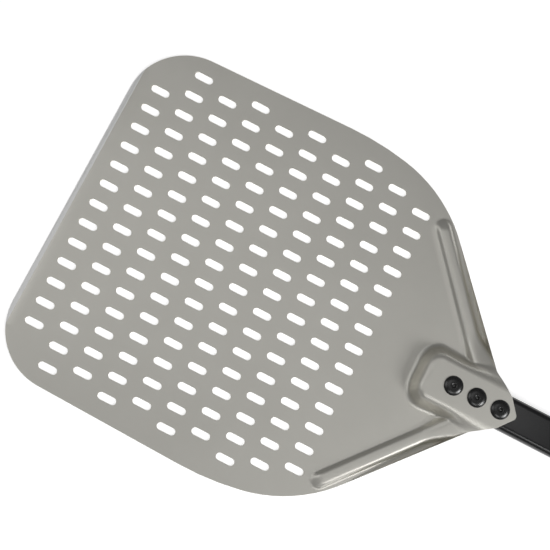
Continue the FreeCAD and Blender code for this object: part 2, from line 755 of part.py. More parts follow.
def make_rivets():
    """Make the three blade rivets and the one that holds the grip and the end cap."""
    blade_grip = SIZE["sheet"] + SIZE["tube_wall"]
    for number, name in enumerate(("rivet_front", "rivet_middle", "rivet_rear")):
        station = SIZE["rivet_front"] + SIZE["rivet_pitch"] * number
        make_rivet(name, station, TUNNEL_TOP, blade_grip, SIZE["rivet_flange"])
    grip_hold = SIZE["grip_side_wall"] + SIZE["tube_wall"] + SIZE["spigot_gap"] + SIZE["cap_wall"]
    make_rivet("grip_rivet", SIZE["grip_rivet_station"], GRIP_TOP, grip_hold,
               SIZE["grip_rivet_flange"])


# ---------------------------------------------------------------- check and write

def check_document():
    """Stop if any object failed or any sub-part has no valid solid."""
    doc.recompute()
    for obj in doc.Objects:
        if "Invalid" in obj.State or "Error" in obj.State:
            raise RuntimeError("%s failed" % obj.Label)
    for piece in pieces:
        shape = piece.Shape
        if shape.isNull() or not shape.isValid() or len(shape.Solids) != 1:
            raise RuntimeError("%s is not one valid solid" % piece.Label)


def write_parts():
    """Write each sub-part to its own STEP file."""
    os.makedirs("parts", exist_ok=True)
    for piece in pieces:
        piece.Shape.exportStep("parts/%s.step" % piece.Label)
        box = piece.Shape.BoundBox
        print("%-20s %9.1f mm3  x %7.1f %7.1f  y %7.1f %7.1f  z %6.2f %6.2f" % (
            piece.Label, piece.Shape.Volume,
            box.XMin, box.XMax, box.YMin, box.YMax, box.ZMin, box.ZMax))


make_blade()
make_handle_tube()
make_front_plug()
make_grip()
make_end_cap()
make_rivets()
check_document()
write_parts()
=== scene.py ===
"""Looks of a perforated pizza peel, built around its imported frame.

The frame gives each piece's place and size. Every class below stands for one sub-assembly
of the peel: it holds its sizes as fields, builds its meshes as a maker would (cut, extrude,
round, press, turn) and dresses them in a finish.
"""

import logging
import math
from dataclasses import dataclass, field
from enum import Enum
from typing import Callable, Iterator, Sequence

import bpy
from mathutils import Matrix, Vector

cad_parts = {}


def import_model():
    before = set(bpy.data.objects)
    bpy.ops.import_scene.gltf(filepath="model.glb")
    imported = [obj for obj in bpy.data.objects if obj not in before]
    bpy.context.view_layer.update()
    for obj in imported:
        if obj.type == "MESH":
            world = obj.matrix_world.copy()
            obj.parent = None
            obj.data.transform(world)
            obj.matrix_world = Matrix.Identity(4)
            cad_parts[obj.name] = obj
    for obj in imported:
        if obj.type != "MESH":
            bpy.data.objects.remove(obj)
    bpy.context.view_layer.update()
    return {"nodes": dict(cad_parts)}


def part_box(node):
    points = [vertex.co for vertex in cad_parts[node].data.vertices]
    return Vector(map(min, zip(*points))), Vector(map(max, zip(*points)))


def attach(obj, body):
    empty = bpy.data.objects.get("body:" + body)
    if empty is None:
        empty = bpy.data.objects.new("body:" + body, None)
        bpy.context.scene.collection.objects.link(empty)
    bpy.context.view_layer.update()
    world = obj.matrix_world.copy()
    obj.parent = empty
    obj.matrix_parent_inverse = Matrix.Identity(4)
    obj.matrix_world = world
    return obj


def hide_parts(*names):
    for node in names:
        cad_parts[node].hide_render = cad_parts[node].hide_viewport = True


MM = 0.001
TINY = 1e-9
BODY = "root"
LOG = logging.getLogger("pizza_peel")

Point = tuple[float, float]
Colour = tuple[float, float, float]


# ------------------------------------------------------------------ hand operations


class Combine(Enum):
    """What a tool solid does to the piece that it meets."""

    CUT = "DIFFERENCE"
    JOIN = "UNION"
    TRIM = "INTERSECT"


class Bench:
    """The hand operations that every piece is made with, one piece at a time."""

    @staticmethod
    def clear() -> None:
        """Leave object mode and let go of every object."""
        if bpy.context.object and bpy.context.object.mode != "OBJECT":
            bpy.ops.object.mode_set(mode="OBJECT")
        bpy.ops.object.select_all(action="DESELECT")

    @staticmethod
    def take(piece: bpy.types.Object) -> bpy.types.Object:
        """Select one piece alone and make it active."""
        Bench.clear()
        piece.select_set(True)
        bpy.context.view_layer.objects.active = piece
        return piece

    @staticmethod
    def name(name: str) -> bpy.types.Object:
        """Name the active object and its mesh, and return it."""
        piece = bpy.context.object
        piece.name = name
        piece.data.name = name
        return piece

    @staticmethod
    def pick_faces(piece: bpy.types.Object, test: Callable[[Vector], bool]) -> None:
        """Enter edit mode with the faces selected whose middle passes a test.

        Args:
            piece: the piece to edit.
            test: takes a face's middle, in metres, and says whether it is wanted.
        """
        Bench.take(piece)
        bpy.ops.object.mode_set(mode="EDIT")
        bpy.ops.mesh.select_mode(type="FACE")
        bpy.ops.mesh.select_all(action="DESELECT")
        bpy.ops.object.mode_set(mode="OBJECT")
        for face in piece.data.polygons:
            face.select = test(face.center)
        bpy.ops.object.mode_set(mode="EDIT")

    @staticmethod
    def pick_all(piece: bpy.types.Object) -> None:
        """Enter edit mode with everything selected."""
        Bench.take(piece)
        bpy.ops.object.mode_set(mode="EDIT")
        bpy.ops.mesh.select_all(action="SELECT")

    @staticmethod
    def done() -> None:
        """Leave edit mode."""
        bpy.ops.object.mode_set(mode="OBJECT")

    @staticmethod
    def move(x: float = 0.0, y: float = 0.0, z: float = 0.0) -> None:
        """Move what is selected."""
        bpy.ops.transform.translate(value=(x, y, z))

    @staticmethod
    def pull(x: float = 0.0, y: float = 0.0, z: float = 0.0) -> None:
        """Extrude what is selected along a vector."""
        bpy.ops.mesh.extrude_region_move(TRANSFORM_OT_translate={"value": (x, y, z)})

    @staticmethod
    def spread(scale: Sequence[float], centre: Sequence[float]) -> None:
        """Scale what is selected about a point."""
        bpy.ops.transform.resize(value=tuple(scale), center_override=tuple(centre))

    @staticmethod
    def tidy(piece: bpy.types.Object, distance: float = 0.00001) -> None:
        """Merge doubled vertices and turn every face outwards."""
        Bench.pick_all(piece)
        bpy.ops.mesh.remove_doubles(threshold=distance)
        bpy.ops.mesh.normals_make_consistent(inside=False)
        Bench.done()

    @staticmethod
    def combine(piece: bpy.types.Object, tool: bpy.types.Object, way: Combine) -> None:
        """Cut, join or trim a piece with a tool solid, which is used up.

        Args:
            piece: the solid that stays.
            tool: the solid that is used up.
            way: what the tool does to the piece.
        """
        Bench.take(piece)
        modifier = piece.modifiers.new("combine", "BOOLEAN")
        modifier.operation = way.value
        modifier.solver = "MANIFOLD"
        modifier.object = tool
        bpy.ops.object.modifier_apply(modifier=modifier.name)
        bpy.data.objects.remove(tool, do_unlink=True)

    @staticmethod
    def round_edges(piece: bpy.types.Object, width: float, segments: int, angle: float) -> None:
        """Round every edge that is sharper than an angle in degrees."""
        Bench.take(piece)
        modifier = piece.modifiers.new("round", "BEVEL")
        modifier.width = width
        modifier.segments = segments
        modifier.limit_method = "ANGLE"
        modifier.angle_limit = math.radians(angle)
        modifier.harden_normals = False
        bpy.ops.object.modifier_apply(modifier=modifier.name)

    @staticmethod
    def smooth(piece: bpy.types.Object, angle: float) -> None:
        """Shade a piece smooth, apart from edges sharper than an angle in degrees."""
        Bench.take(piece)
        bpy.ops.object.shade_smooth_by_angle(angle=math.radians(angle))

    @staticmethod
    def dress(piece: bpy.types.Object, *materials: bpy.types.Material) -> None:
        """Give a piece its materials, in place of any that it has."""
        piece.data.materials.clear()
        for material in materials:
            piece.data.materials.append(material)

    @staticmethod
    def join(pieces: Sequence[bpy.types.Object]) -> bpy.types.Object:
        """Join pieces into the first one."""
        Bench.clear()
        for piece in pieces:
            piece.select_set(True)
        bpy.context.view_layer.objects.active = pieces[0]
        bpy.ops.object.join()
        return pieces[0]

    @staticmethod
    def copy(piece: bpy.types.Object, x: float, y: float) -> bpy.types.Object:
        """Copy a piece with a mesh of its own, moved in the plane."""
        twin = piece.copy()
        twin.data = piece.data.copy()
        twin.data.transform(Matrix.Translation((x, y, 0.0)))
        bpy.context.scene.collection.objects.link(twin)
        return twin


def plate(name: str, outline: Sequence[Point], levels: Sequence[Point]) -> bpy.types.Object:
    """Extrude an outline through levels, drawn in at some of them to leave a chamfer.

    Args:
        name: the plate's name.
        outline: its corners, anticlockwise from above, in metres.
        levels: each level with how far the outline is drawn in there; the first is not.

    Returns:
        The plate, one closed solid.
    """
    Bench.clear()
    bpy.ops.mesh.primitive_circle_add(vertices=len(outline), radius=1.0, fill_type="NGON")
    piece = Bench.name(name)
    for vertex, (x, y) in zip(piece.data.vertices, outline):
        vertex.co = (x, y, levels[0][0])
    Bench.pick_all(piece)
    for (before, drawn_in), (level, draw_in) in zip(levels, levels[1:]):
        if draw_in > drawn_in:
            bpy.ops.mesh.inset(thickness=draw_in - drawn_in)
            Bench.move(z=level - before)
        else:
            Bench.pull(z=level - before)
    Bench.done()
    Bench.tidy(piece)
    return piece


def rounded(corners: Sequence[tuple[float, float, float]], step: float = 4.0) -> list[Point]:
    """Round a polygon's corners with arcs.

    Args:
        corners: x, y and radius of each corner, in order round the polygon.
        step: the arcs' step, in degrees.

    Returns:
        The points of the outline.
    """
    points: list[Point] = []
    count = len(corners)
    for index, (x, y, radius) in enumerate(corners):
        here = Vector((x, y))
        if radius <= 0.0:
            points.append((x, y))
            continue
        before = (Vector(corners[index - 1][:2]) - here).normalized()
        after = (Vector(corners[(index + 1) % count][:2]) - here).normalized()
        half = before.angle(after) / 2
        centre = here + (before + after).normalized() * (radius / math.sin(half))
        reach = radius / math.tan(half)
        start = here + before * reach - centre
        end = here + after * reach - centre
        turn = start.angle_signed(end) * -1.0
        steps = max(2, round(math.degrees(abs(turn)) / step))
        for part in range(steps + 1):
            angle = turn * part / steps
            spin = Matrix.Rotation(angle, 2)
            point = centre + spin @ start
            points.append((point.x, point.y))
    return points


def circle(radius: float, count: int, middle: Point = (0.0, 0.0)) -> list[Point]:
    """Return a circle's points, anticlockwise."""
    turns = [2 * math.pi * part / count for part in range(count)]
    return [(middle[0] + radius * math.cos(turn), middle[1] + radius * math.sin(turn)) for turn in turns]


def obround(length: float, width: float, steps: int = 10) -> list[Point]:
    """Return the outline of a straight slot along X, about the origin."""
    radius = width / 2
    run = length / 2 - radius
    points: list[Point] = []
    for side in (1, -1):
        for part in range(steps + 1):
            angle = math.pi * part / steps - math.pi / 2
            points.append((side * (run + radius * math.cos(angle)), side * radius * math.sin(angle)))
    return points


# ------------------------------------------------------------------ materials


class Shader:
    """A node tree that is built one node at a time."""

    def __init__(self, name: str) -> None:
        """Start a material with a Principled shader and Object coordinates."""
        self.material = bpy.data.materials.new(name)
        self.material.use_nodes = True
        self.tree = self.material.node_tree
        self.main = self.tree.nodes["Principled BSDF"]
        self.place = self.tree.nodes.new("ShaderNodeTexCoord").outputs["Object"]

    def set(self, **sockets: float | Sequence[float]) -> None:
        """Set the main shader's own sockets; underscores stand for spaces."""
        for name, value in sockets.items():
            self.main.inputs[name.replace("_", " ")].default_value = value

    def join(self, output: bpy.types.NodeSocket, socket: str) -> None:
        """Join an output to a socket of the main shader."""
        self.tree.links.new(output, self.main.inputs[socket])

    def stretch(self, scale: Sequence[float]) -> bpy.types.NodeSocket:
        """Return Object coordinates stretched by a scale on each axis."""
        node = self.tree.nodes.new("ShaderNodeMapping")
        node.inputs["Scale"].default_value = tuple(scale)
        self.tree.links.new(self.place, node.inputs["Vector"])
        return node.outputs["Vector"]

    def noise(self, scale: float, detail: float = 3.0, roughness: float = 0.5,
              vector: bpy.types.NodeSocket | None = None) -> bpy.types.NodeSocket:
        """Return noise, from 0 to 1, at a number of grains a metre."""
        node = self.tree.nodes.new("ShaderNodeTexNoise")
        node.inputs["Scale"].default_value = scale
        node.inputs["Detail"].default_value = detail
        node.inputs["Roughness"].default_value = roughness
        self.tree.links.new(vector or self.place, node.inputs["Vector"])
        return node.outputs["Fac"]

    def ramp(self, value: bpy.types.NodeSocket, low: float, high: float,
             first: Colour, second: Colour) -> bpy.types.NodeSocket:
        """Return a colour that runs from first to second as a value runs from low to high."""
        node = self.tree.nodes.new("ShaderNodeValToRGB")
        node.color_ramp.elements[0].position = low
        node.color_ramp.elements[1].position = high
        node.color_ramp.elements[0].color = (*first, 1.0)
        node.color_ramp.elements[1].color = (*second, 1.0)
        self.tree.links.new(value, node.inputs["Fac"])
        return node.outputs["Color"]

    def range(self, value: bpy.types.NodeSocket, low: float, high: float) -> bpy.types.NodeSocket:
        """Return a value from 0 to 1, mapped to run from low to high."""
        node = self.tree.nodes.new("ShaderNodeMapRange")
        node.inputs["To Min"].default_value = low
        node.inputs["To Max"].default_value = high
        self.tree.links.new(value, node.inputs["Value"])
        return node.outputs["Result"]

    def bump(self, height: bpy.types.NodeSocket, distance: float, strength: float = 1.0) -> None:
        """Raise the surface by a height from 0 to 1, times a distance in metres."""
        node = self.tree.nodes.new("ShaderNodeBump")
        node.inputs["Distance"].default_value = distance
        node.inputs["Strength"].default_value = strength
        self.tree.links.new(height, node.inputs["Height"])
        self.join(node.outputs["Normal"], "Normal")


@dataclass(frozen=True)
class AnodisedSheet:
    """Warm grey satin anodising on rolled aluminium."""

    shade: Colour = (0.71, 0.695, 0.64)
    worn: Colour = (0.75, 0.735, 0.68)
    roughness: float = 0.44
    metallic: float = 0.95

    def make(self) -> bpy.types.Material:
        """Return the material: fine grain, faint clouds and a rolled direction."""
        shader = Shader("blade_anodised")
        cloud = shader.noise(scale=14.0, detail=4.0, roughness=0.6)
        colour = shader.ramp(cloud, low=0.3, high=0.75, first=self.shade, second=self.worn)
        shader.join(colour, "Base Color")
        grain = shader.noise(scale=2600.0, detail=2.0, roughness=0.6)
        rough = shader.range(grain, low=self.roughness - 0.05, high=self.roughness + 0.07)
        shader.join(rough, "Roughness")
        along = shader.stretch((0.12, 1.0, 1.0))
        rolled = shader.noise(scale=900.0, detail=3.0, roughness=0.7, vector=along)
        shader.bump(rolled, distance=0.000012, strength=0.5)
        shader.set(Metallic=self.metallic)
        return shader.material


@dataclass(frozen=True)
class BevelledEdge:
    """The leading edge, milled bare after anodising, with a painted highlight: a near-white, mostly diffuse
    colour stands in for the light that the bevel catches, so its band stays even.
    """

    # Painted highlight: the near-white shade and the low metallic make the bevel as bright as the light that
    # falls on it.
    shade: Colour = (0.97, 0.97, 0.96)
    lift: float = 1.12
    roughness: float = 0.55
    metallic: float = 0.08

    def make(self) -> bpy.types.Material:
        """Return the material, with fine marks of the cutter across the bevel."""
        shader = Shader("blade_bevel")
        along = shader.stretch((0.2, 1.0, 1.0))
        marks = shader.noise(scale=1500.0, detail=3.0, roughness=0.6, vector=along)
        light = tuple(min(1.0, part * self.lift) for part in self.shade)
        shader.join(shader.ramp(marks, low=0.35, high=0.7, first=self.shade, second=light), "Base Color")
        shader.bump(marks, distance=0.00001, strength=0.6)
        shader.set(Metallic=self.metallic, Roughness=self.roughness)
        return shader.material


@dataclass(frozen=True)
class Coating:
    """A dark coat over metal or a moulded surface, from glossy to matt."""

    name: str
    shade: Colour
    roughness: float
    grain: float
    depth: float
    specular: float = 0.5

    def make(self) -> bpy.types.Material:
        """Return the material: an even colour with a fine orange-peel grain."""
        shader = Shader(self.name)
        light = tuple(part * 1.5 + 0.002 for part in self.shade)
        cloud = shader.noise(scale=30.0, detail=4.0, roughness=0.6)
        shader.join(shader.ramp(cloud, low=0.35, high=0.8, first=self.shade, second=light), "Base Color")
        speck = shader.noise(scale=self.grain, detail=3.0, roughness=0.6)
        rough = shader.range(speck, low=self.roughness - 0.04, high=self.roughness + 0.06)
        shader.join(rough, "Roughness")
        shader.bump(speck, distance=self.depth, strength=0.6)
        shader.set(Metallic=0.0, Specular_IOR_Level=self.specular)
        return shader.material


@dataclass(frozen=True)
class BrokenSteel:
    """The torn end of a rivet's steel stem, in a near-black painted shade that stands in for the dark of the
    hole in the rivet's mouth.
    """

    # Painted shade: the stem is made near black so that the hole in the rivet's mouth reads dark.
    shade: Colour = (0.10, 0.10, 0.098)

    def make(self) -> bpy.types.Material:
        """Return the material, with a coarse torn grain."""
        shader = Shader("stem_steel")
        grain = shader.noise(scale=3500.0, detail=3.0, roughness=0.7)
        dark = tuple(part * 0.7 for part in self.shade)
        shader.join(shader.ramp(grain, low=0.3, high=0.7, first=dark, second=self.shade), "Base Color")
        shader.bump(grain, distance=0.00008, strength=0.8)
        shader.set(Metallic=0.8, Roughness=0.4)
        return shader.material


@dataclass(frozen=True)
class PaleFloor:
    """The plain pale floor, lit evenly from below as a light table is."""

    shade: Colour = (0.9, 0.9, 0.9)
    glow: float = 0.6

    def make(self) -> bpy.types.Material:
        """Return the material, matt and nearly even."""
        shader = Shader("floor_pale")
        cloud = shader.noise(scale=3.0, detail=2.0, roughness=0.5)
        dim = tuple(part * 0.995 for part in self.shade)
        shader.join(shader.ramp(cloud, low=0.3, high=0.7, first=dim, second=self.shade), "Base Color")
        shader.set(Metallic=0.0, Roughness=0.9, Specular_IOR_Level=0.0)
        shader.set(Emission_Color=(1.0, 1.0, 1.0, 1.0), Emission_Strength=self.glow)
        return shader.material


SATIN_TUBE = Coating(
    "tube_coat", (0.0045, 0.0047, 0.0052),
    roughness=0.24, grain=1800.0, depth=0.000012, specular=0.75,
)
GLOSS_RIVET = Coating(
    "rivet_black", (0.002, 0.002, 0.0021),
    roughness=0.27, grain=900.0, depth=0.000004, specular=0.85,
)
SOFT_GRIP = Coating(
    "grip_rubber", (0.024, 0.024, 0.026),
    roughness=0.55, grain=2600.0, depth=0.00004, specular=0.3,
)
MOULDED_NYLON = Coating(
    "moulded_black", (0.012, 0.012, 0.0125),
    roughness=0.45, grain=2200.0, depth=0.00002, specular=0.35,
)


# ------------------------------------------------------------------ the blade


def across(value: float, low: float, high: float) -> float:
    """Return how far value is from low to high, kept from 0 to 1."""
    return min(1.0, max(0.0, (value - low) / (high - low)))


def soft(share: float) -> float:
    """Return a share from 0 to 1 with a soft start and a soft end."""
    return share * share * (3.0 - 2.0 * share)


@dataclass
class Blade:
    """The pressed and perforated sheet. Stations, widths and heights are in millimetres.

    Stations run back from the leading edge, and offsets run sideways from the middle line.
    The tunnel's bend and corner are shares of its wall's width, and a bead's start and climb
    are shares of the bead's length.
    """

    sheet: float = 1.5
    deburr: float = 0.22
    past: float = 1.0
    outline: Sequence[tuple[float, float, float]] = (
        (0.0, 149.4, 52.0),
        (205.0, 156.0, 248.0),
        (275.5, 142.9, 125.0),
        (374.5, 26.5, 14.0),
        (391.8, 14.2, 2.5),
    )
    tip: tuple[float, float, float] = (403.4, 0.0, 4.0)
    slots_per_column: Sequence[int] = (13, 16, 15, 16, 15, 16, 15, 16, 15, 14)
    first_column: float = 23.85
    column_pitch: float = 26.55
    slot_pitch: float = 18.0
    slot_length: float = 16.0
    slot_width: float = 6.0
    bevel_run: float = 4.0
    bevel_drop: float = 1.0
    bevel_normal: tuple[float, float] = (0.5, 0.999)
    flat_end: float = 268.0
    grid_front: tuple[float, float] = (-4.0, 10.6)
    grid_gap: float = 5.0
    grid_past: float = 2.0
    grid_wall: tuple[float, float] = (308.5, 326.5)
    grid_steps: tuple[float, float] = (0.65, 1.05)
    grid_middle: float = 0.8
    grid_bands: Sequence[tuple[float, float]] = ((12.5, 1.6), (31.0, 0.5), (132.0, 1.05))
    grid_side: float = 162.0
    grid_rim: float = 6.0
    tunnel_rise: float = 16.5
    tunnel_front: tuple[float, float] = (311.5, 324.5)
    tunnel_top: float = 14.8
    tunnel_foot: tuple[tuple[float, float], tuple[float, float]] = ((322.0, 30.5), (391.0, 25.0))
    tab_flare: float = 22.0
    tab_start: float = 342.0
    tab_end: float = 388.0
    tunnel_bend: float = 0.40
    tunnel_corner: float = 0.45
    slope_limits: tuple[float, float] = (0.05, math.pi / 2 - 0.02)
    halvings: int = 24
    bead_line: tuple[tuple[float, float], tuple[float, float]] = ((283.5, 116.8), (372.0, 12.9))
    bead_rise: float = 3.8
    bead_foot: float = 7.0
    bead_top: float = 3.2
    bead_sweep: float = 11.0
    bead_sweep_share: float = 0.35
    bead_start: tuple[float, float] = (-0.06, 0.04)
    bead_climb: float = 7.5
    bead_spread: float = 20.0
    bead_widen: float = 9.0
    bead_turn: float = 5.0
    inner_spread: float = 0.28
    outer_fade: float = 0.7
    fade_width: float = 2.0
    climb_start: float = 0.66
    melt: float = 4.0
    slope_step: float = 0.05
    rivet_stations: Sequence[float] = (345.7, 366.8, 387.9)
    rivet_hole: float = 5.1
    front: float = field(init=False, default=0.0)

    def __post_init__(self) -> None:
        """Find the leading edge in the frame."""
        self.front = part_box("blade")[0].x

    def at(self, station: float, offset: float) -> Point:
        """Return the place, in metres, of a station and an offset from the middle."""
        return self.front + station * MM, offset * MM

    # -------------------------------------------------- lines of the grid

    def stations(self) -> list[float]:
        """Return the grid's stations: few under the slots, close together at the neck."""
        lines = list(self.grid_front)
        while lines[-1] + self.column_pitch < self.flat_end - self.grid_gap:
            lines.append(lines[-1] + self.column_pitch)
        lines.append(self.flat_end)
        wall_start, wall_end = self.grid_wall
        fine, coarse = self.grid_steps
        while lines[-1] < self.tip[0] + self.grid_past:
            in_wall = wall_start < lines[-1] < wall_end
            lines.append(lines[-1] + (fine if in_wall else coarse))
        return lines

    def offsets(self) -> list[float]:
        """Return the grid's offsets from the middle, close together at the tunnel's walls."""
        half = [self.grid_middle]
        for end, step in self.grid_bands:
            while half[-1] < end:
                half.append(half[-1] + step)
        half.append(self.grid_side)
        return [-value for value in reversed(half)] + half

    def make_slab(self) -> bpy.types.Object:
        """Return a slab of sheet whose grid is fine where it will be pressed."""
        stations, offsets = self.stations(), self.offsets()
        columns, rows = len(stations) - 1, len(offsets) - 1
        Bench.clear()
        bpy.ops.mesh.primitive_grid_add(x_subdivisions=columns, y_subdivisions=rows, size=1.0)
        slab = Bench.name("blade_pressing")
        for vertex in slab.data.vertices:
            column = round((vertex.co.x + 0.5) * columns)
            row = round((vertex.co.y + 0.5) * rows)
            x, y = self.at(stations[column], offsets[row])
            vertex.co = (x, y, 0.0)
        neck, shoulder = self.outline[3], self.outline[2]
        slope = (shoulder[1] - neck[1]) / (neck[0] - shoulder[0])

        def spare(middle: Vector) -> bool:
            """Say whether a cell lies well outside the neck.

            Args:
                middle: the cell's middle, in metres.

            Returns:
                True where the press has nothing to shape, so the cell can go.
            """
            station = (middle.x - self.front) / MM
            reach = max(neck[1] + slope * (neck[0] - station), neck[1]) + self.grid_rim
            return station > self.flat_end and abs(middle.y) / MM > reach

        Bench.pick_faces(slab, spare)
        bpy.ops.mesh.delete(type="FACE")
        Bench.pick_all(slab)
        Bench.pull(z=self.sheet * MM)
        Bench.done()
        Bench.tidy(slab)
        return slab

    # -------------------------------------------------- cutting the flat blank

    def make_blank(self) -> bpy.types.Object:
        """Return the solid of the blank's outline, with a deburred upper rim."""
        side = [(*self.at(x, y), radius * MM) for x, y, radius in self.outline]
        other = [(x, -y, radius) for x, y, radius in side]
        tip = (*self.at(self.tip[0], self.tip[1]), self.tip[2] * MM)
        ring = other + [tip] + side[::-1]
        deburr, top, past = self.deburr * MM, self.sheet * MM, self.past * MM
        levels = [(-past, 0.0), (top - deburr, 0.0), (top + deburr, 2 * deburr), (top + past, 2 * deburr)]
        return plate("blank", rounded(ring), levels)

    def make_punches(self) -> bpy.types.Object:
        """Return the gang of slot punches; their shoulders leave a small chamfer."""
        deburr, top, past = self.deburr * MM, self.sheet * MM, self.past * MM
        shape = obround(self.slot_length * MM + 4 * deburr, self.slot_width * MM + 4 * deburr)
        levels = [(top + past, 0.0), (top + deburr, 0.0), (top - deburr, 2 * deburr), (-past, 2 * deburr)]
        punch = plate("punch", shape, levels)
        gang = []
        for column, count in enumerate(self.slots_per_column):
            for row in range(count):
                offset = (row - (count - 1) / 2) * self.slot_pitch
                x, y = self.at(self.first_column + self.column_pitch * column, offset)
                gang.append(Bench.copy(punch, x, y))
        bpy.data.objects.remove(punch, do_unlink=True)
        return Bench.join(gang)

    def make_drills(self) -> bpy.types.Object:
        """Return the drills of the rivet holes."""
        past = self.past * MM
        drills = []
        for station in self.rivet_stations:
            middle = self.at(station, 0.0)
            shape = circle(self.rivet_hole / 2 * MM, count=32, middle=middle)
            drills.append(plate("drill", shape, [(-past, 0.0), (self.sheet * MM + past, 0.0)]))
        return Bench.join(drills)

    def mill_bevel(self, sheet: bpy.types.Object) -> None:
        """Mill the bevel along the leading edge."""
        square = Vector((-self.bevel_drop, 0.0, self.bevel_run)).normalized()
        Bench.pick_all(sheet)
        bpy.ops.mesh.bisect(
            plane_co=(self.front + self.bevel_run * MM, 0.0, self.sheet * MM),
            plane_no=tuple(square),
            use_fill=True,
            clear_outer=True,
            threshold=0.000001,
        )
        Bench.done()

    # -------------------------------------------------- pressing

    def wall_height(self, out: float, width: float) -> float:
        """Return the height of a drawn wall, as a share of its whole rise.

        The wall is an arc, a straight slope and an arc. Its slope is found by halving.

        Args:
            out: distance outwards from the top's edge.
            width: distance from the top's edge to the foot.

        Returns:
            1 on the top, 0 past the foot.
        """
        if out <= 0.0:
            return 1.0
        if out >= width:
            return 0.0
        bend = self.tunnel_bend * width
        low, high = self.slope_limits
        for _ in range(self.halvings):
            angle = (low + high) / 2
            straight = (self.tunnel_rise - 2 * bend * (1 - math.cos(angle))) / math.sin(angle)
            reach = 2 * bend * math.sin(angle) + straight * math.cos(angle)
            low, high = (angle, high) if reach > width else (low, angle)
        arc_run = bend * math.sin(angle)
        arc_drop = bend * (1 - math.cos(angle))
        if out < arc_run:
            drop = bend - math.sqrt(bend * bend - out * out)
        elif out > width - arc_run:
            left = width - out
            drop = self.tunnel_rise - (bend - math.sqrt(bend * bend - left * left))
        else:
            drop = arc_drop + (out - arc_run) * math.tan(angle)
        return 1.0 - drop / self.tunnel_rise

    def tunnel_height(self, station: float, offset: float) -> float:
        """Return the height of the tunnel at a place on the sheet."""
        foot_front, top_front = self.tunnel_front
        (first, first_half), (last, last_half) = self.tunnel_foot
        share = (station - first) / (last - first)
        foot = first_half + (last_half - first_half) * share
        foot += self.tab_flare * soft(across(station, self.tab_start, self.tab_end))
        side_width = foot - self.tunnel_top
        front_width = top_front - foot_front
        side = (abs(offset) - self.tunnel_top) / side_width
        ahead = (top_front - station) / front_width
        if max(side, ahead) >= 1.0:
            return 0.0
        corner = self.tunnel_corner
        out_side, out_ahead = max(side + corner, 0.0), max(ahead + corner, 0.0)
        reach = math.hypot(out_side, out_ahead)
        if min(side, ahead) <= -corner:
            out, width = (side, side_width) if side > ahead else (ahead, front_width)
        else:
            blend = out_ahead * out_ahead / max(reach * reach, TINY)
            width = side_width + (front_width - side_width) * blend
            out = reach - corner
        return self.tunnel_rise * self.wall_height(out * width, width)

    def bead_height(self, station: float, offset: float) -> float:
        """Return the height of the nearer bead, which climbs as it nears the neck.

        The bead has a steep wall with a wider sweep at its foot. Where it climbs it also
        spreads, much more on the outer side than on the inner one.

        Args:
            station: distance back from the leading edge.
            offset: distance from the middle line, to either side.

        Returns:
            The height above the flat sheet.
        """
        (first_x, first_y), (last_x, last_y) = self.bead_line
        run = Vector((last_x - first_x, last_y - first_y))
        out = Vector((-run.y, run.x)).normalized()
        place = Vector((station - first_x, abs(offset) - first_y))
        share = place.dot(run) / run.length_squared
        nearest = run * min(1.0, max(0.0, share))
        distance = (place - nearest).length
        side = place.dot(out)
        climb = soft(across(share, self.climb_start, 1.0))
        outward = soft(across(side, -self.bead_turn, self.bead_turn))
        spread = self.bead_spread * climb * (self.inner_spread + (1.0 - self.inner_spread) * outward)
        top = self.bead_top + self.bead_widen * climb * outward
        wall = 1.0 - soft(across(distance, top, self.bead_foot + spread))
        sweep = 1.0 - soft(across(distance, 0.0, self.bead_sweep + spread))
        faded = self.outer_fade * across(side, -self.fade_width, self.fade_width)
        swept = self.bead_sweep_share * (1.0 - faded)
        rise = self.bead_rise * soft(across(share, *self.bead_start)) + self.bead_climb * climb
        return rise * (wall + (sweep - wall) * swept)

    def height(self, station: float, offset: float) -> float:
        """Return how far the press lifts the sheet at a place.

        The higher of tunnel and bead counts, and they melt together where they are alike.

        Args:
            station: distance back from the leading edge.
            offset: distance from the middle line.

        Returns:
            The lift, in millimetres.
        """
        if station < self.flat_end:
            return 0.0
        tunnel = self.tunnel_height(station, offset)
        bead = self.bead_height(station, offset)
        near = max(1.0 - abs(tunnel - bead) / self.melt, 0.0)
        return max(tunnel, bead) + near * near * self.melt / 4 * min(min(tunnel, bead), 1.0)

    def press(self, sheet: bpy.types.Object) -> None:
        """Press the flat sheet: each point moves to its height, square to the surface."""
        step = self.slope_step
        for vertex in sheet.data.vertices:
            station = (vertex.co.x - self.front) / MM
            offset = vertex.co.y / MM
            if station < self.flat_end:
                continue
            height = self.height(station, offset)
            along = (self.height(station + step, offset) - self.height(station - step, offset)) / (2 * step)
            over = (self.height(station, offset + step) - self.height(station, offset - step)) / (2 * step)
            square = Vector((-along, -over, 1.0)).normalized()
            depth = vertex.co.z / MM - self.sheet / 2
            middle = Vector((station, offset, height + self.sheet / 2))
            place = middle + square * depth
            x, y = self.at(place.x, place.y)
            vertex.co = (x, y, place.z * MM)

    # -------------------------------------------------- the whole

    def dress(self, sheet: bpy.types.Object) -> None:
        """Give the sheet its anodising and the bevel its bare metal, painted near white as a highlight."""
        Bench.dress(sheet, AnodisedSheet().make(), BevelledEdge().make())
        limit = self.front + self.bevel_run * MM
        steep, flat = self.bevel_normal
        # The bevel's faces get the painted-highlight material.
        for face in sheet.data.polygons:
            bevel = face.center.x < limit and steep < face.normal.z < flat
            face.material_index = 1 if bevel else 0

    def build(self) -> list[bpy.types.Object]:
        """Cut the blank, mill its bevel, punch it, press it and dress it."""
        sheet = self.make_slab()
        Bench.combine(sheet, self.make_blank(), Combine.TRIM)
        self.mill_bevel(sheet)
        Bench.combine(sheet, self.make_punches(), Combine.CUT)
        Bench.combine(sheet, self.make_drills(), Combine.CUT)
        self.press(sheet)
        Bench.smooth(sheet, angle=40.0)
        self.dress(sheet)
        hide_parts("blade")
        return [sheet]


# ------------------------------------------------------------------ the handle


